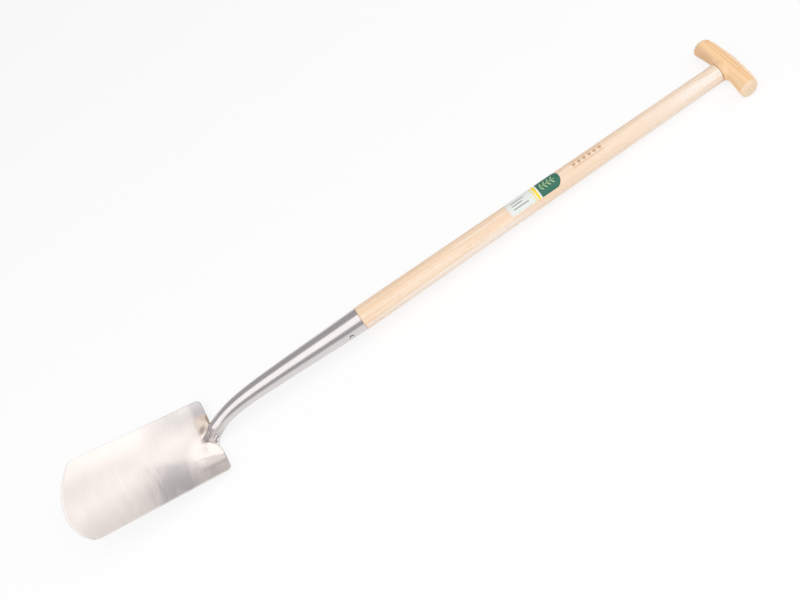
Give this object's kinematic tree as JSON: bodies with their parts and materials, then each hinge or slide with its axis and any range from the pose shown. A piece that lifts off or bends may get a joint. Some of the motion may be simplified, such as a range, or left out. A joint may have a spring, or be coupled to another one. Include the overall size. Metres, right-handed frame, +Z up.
{
  "type": "garden spade",
  "caption": "Long garden spade with a dished stainless blade, swan-necked tubular socket, tapered ash shaft and arched wooden T-grip.",
  "frame": {"origin": "on the ground under the middle of the spade's length and width, with the spade lying on its back", "axes": "+X along the shaft toward the grip, +Y across the blade, +Z up, out of the blade's dished face"},
  "size_m": [1.2055, 0.1468, 0.0723],
  "materials": {
    "blade_steel": "satin polished stainless",
    "socket_steel": "satin stainless tube",
    "weld_steel": "dull rippled weld",
    "rivet_steel": "satin",
    "shaft_ash": "smooth oiled ash",
    "grip_ash": "smooth oiled ash",
    "wedge_wood": "sawn hardwood",
    "label_paper": "printed paper"
  },
  "bodies": {
    "root": {"blade": "blade_steel", "socket": "socket_steel", "front_weld": "weld_steel", "back_weld": "weld_steel", "socket_rivet": "rivet_steel", "shaft": "shaft_ash", "grip": "grip_ash", "grip_wedge": "wedge_wood", "label": "label_paper"}
  },
  "joints": []
}
